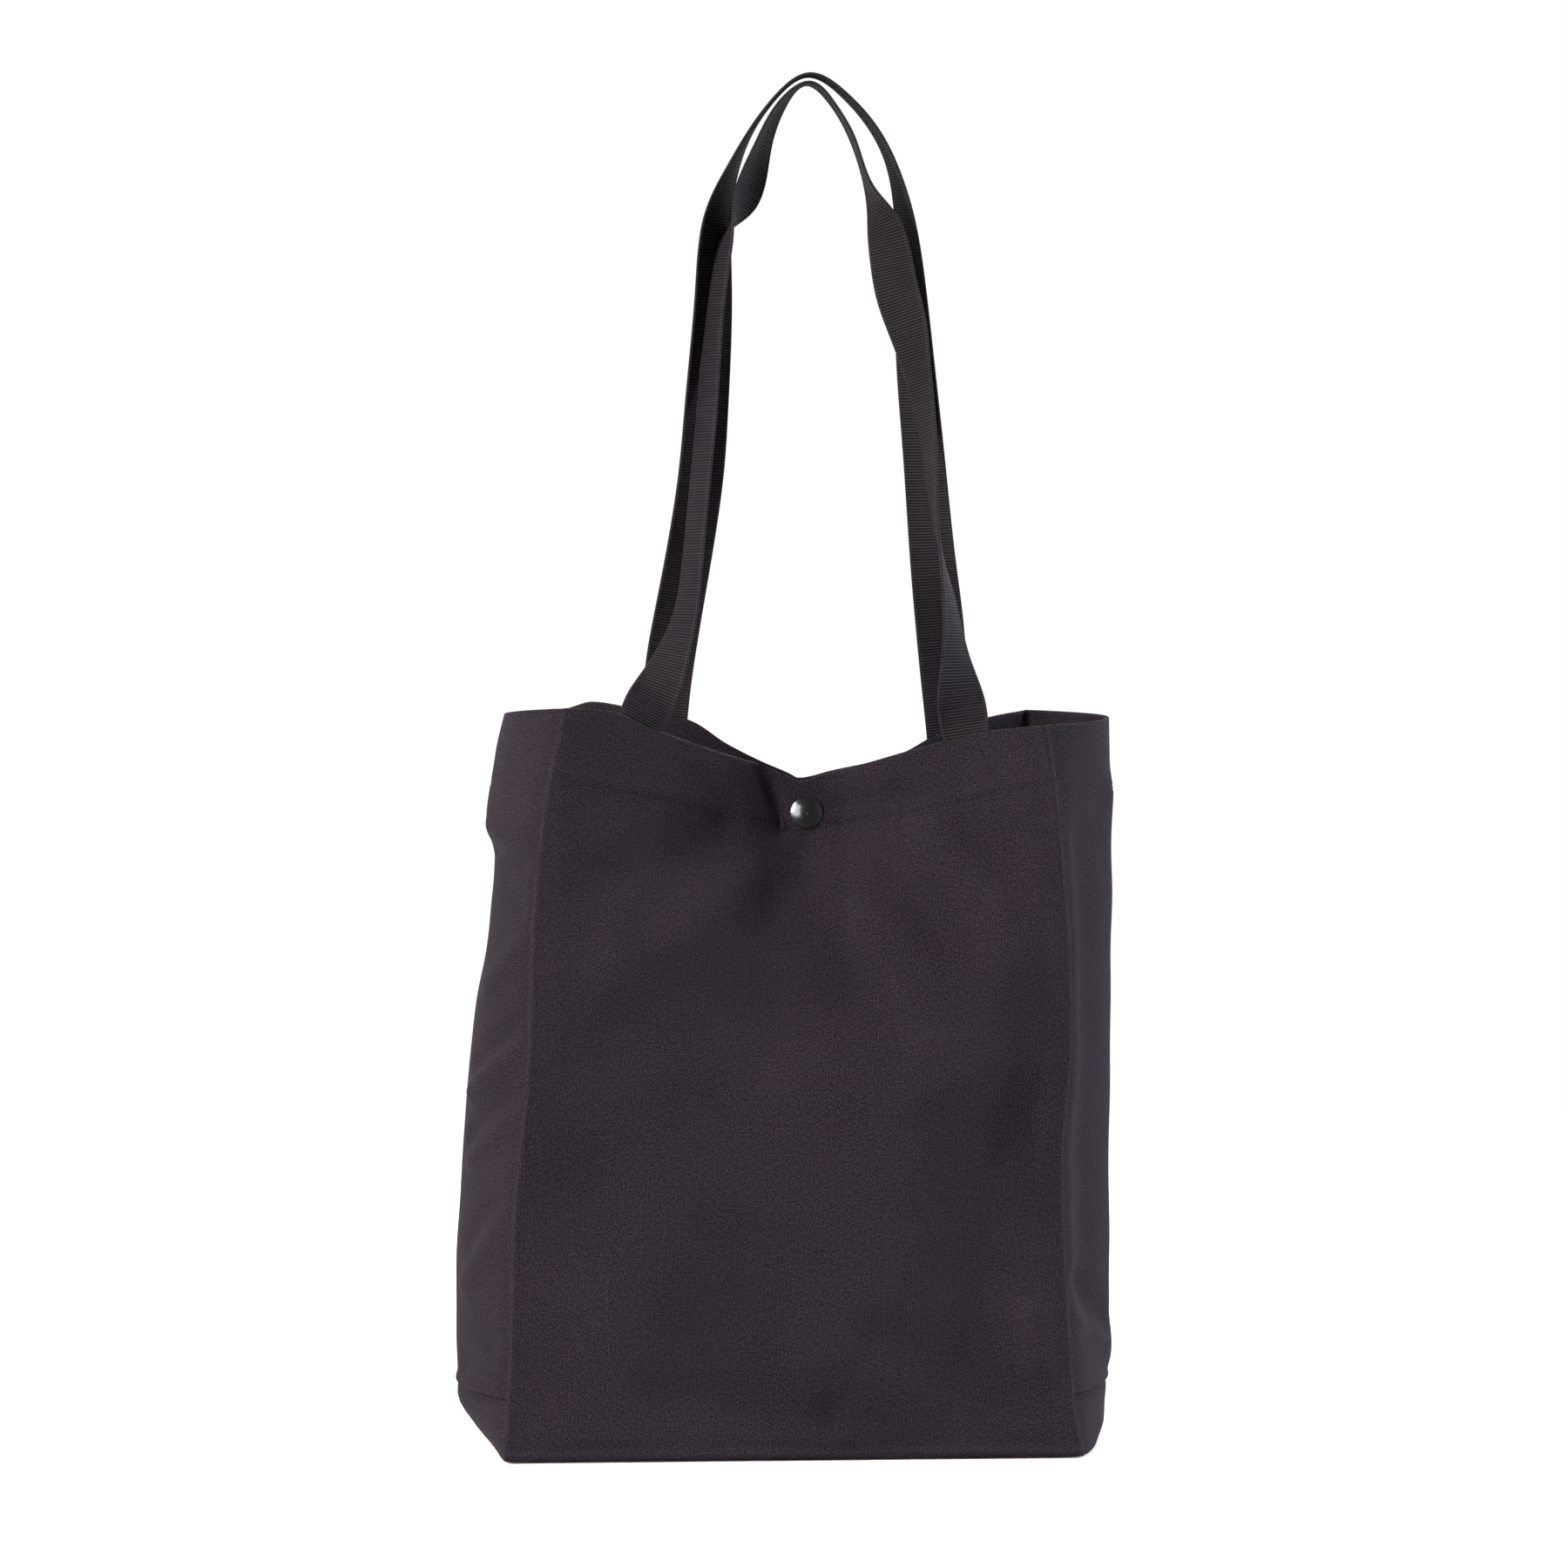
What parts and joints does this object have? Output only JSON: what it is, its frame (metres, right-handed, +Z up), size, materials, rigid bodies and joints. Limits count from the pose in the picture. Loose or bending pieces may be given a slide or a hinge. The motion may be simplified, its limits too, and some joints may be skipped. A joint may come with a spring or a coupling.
{
  "type": "tote bag",
  "caption": "Upright gusseted tote bag of dark woven fabric, with long ribbed webbing handles and a snap button that pinches the dipped mouth.",
  "frame": {"origin": "middle of the base, on the floor", "axes": "+X to the right seen from the front, -Y out of the front panel, +Z up along the handles"},
  "size_m": [0.342, 0.12, 0.718],
  "materials": {
    "body_fabric": "dark charcoal plain-weave synthetic canvas, coated inside, low sheen",
    "webbing": "dark charcoal webbing with cross ribs and firm edges",
    "binding_tape": "thin non-woven binding tape",
    "black_nickel": "polished black nickel plate",
    "spring_steel": "drawn spring wire"
  },
  "bodies": {
    "bag": {"front_panel": "body_fabric", "rear_panel": "body_fabric", "left_gusset": "body_fabric", "right_gusset": "body_fabric", "base_panel": "body_fabric", "front_facing": "body_fabric", "rear_facing": "body_fabric", "left_facing": "body_fabric", "right_facing": "body_fabric", "front_seam_binding": "binding_tape", "rear_seam_binding": "binding_tape", "front_handle_end_left": "webbing", "front_handle_end_right": "webbing", "rear_handle_end_left": "webbing", "rear_handle_end_right": "webbing"},
    "front_snap_half": {"snap_cap": "black_nickel", "snap_socket": "black_nickel", "socket_spring": "spring_steel", "front_snap_patch": "body_fabric"},
    "rear_snap_half": {"snap_stud": "black_nickel", "snap_post": "black_nickel", "rear_snap_patch": "body_fabric"},
    "front_handle": {"front_handle_loop": "webbing"},
    "rear_handle": {"rear_handle_loop": "webbing"}
  },
  "joints": [
    {"name": "front_handle_swing", "type": "hinge", "parent": "bag", "child": "front_handle", "pos_m": [0, -0.0443, 0.383], "axis": [1, 0, 0], "range_deg": [0, 172]},
    {"name": "rear_handle_swing", "type": "hinge", "parent": "bag", "child": "rear_handle", "pos_m": [0, 0.03968, 0.383], "axis": [-1, 0, 0], "range_deg": [0, 172]},
    {"name": "mouth_open_front", "type": "slide", "parent": "bag", "child": "front_snap_half", "axis": [0, -0.8601, 0.5101], "range_m": [0, 0.045]},
    {"name": "mouth_open_rear", "type": "slide", "parent": "bag", "child": "rear_snap_half", "axis": [0, 0.8601, 0.5101], "range_m": [0, 0.045]}
  ],
  "couplings": [
    {"joint": "mouth_open_rear", "follows": "mouth_open_front", "ratio": 1}
  ]
}
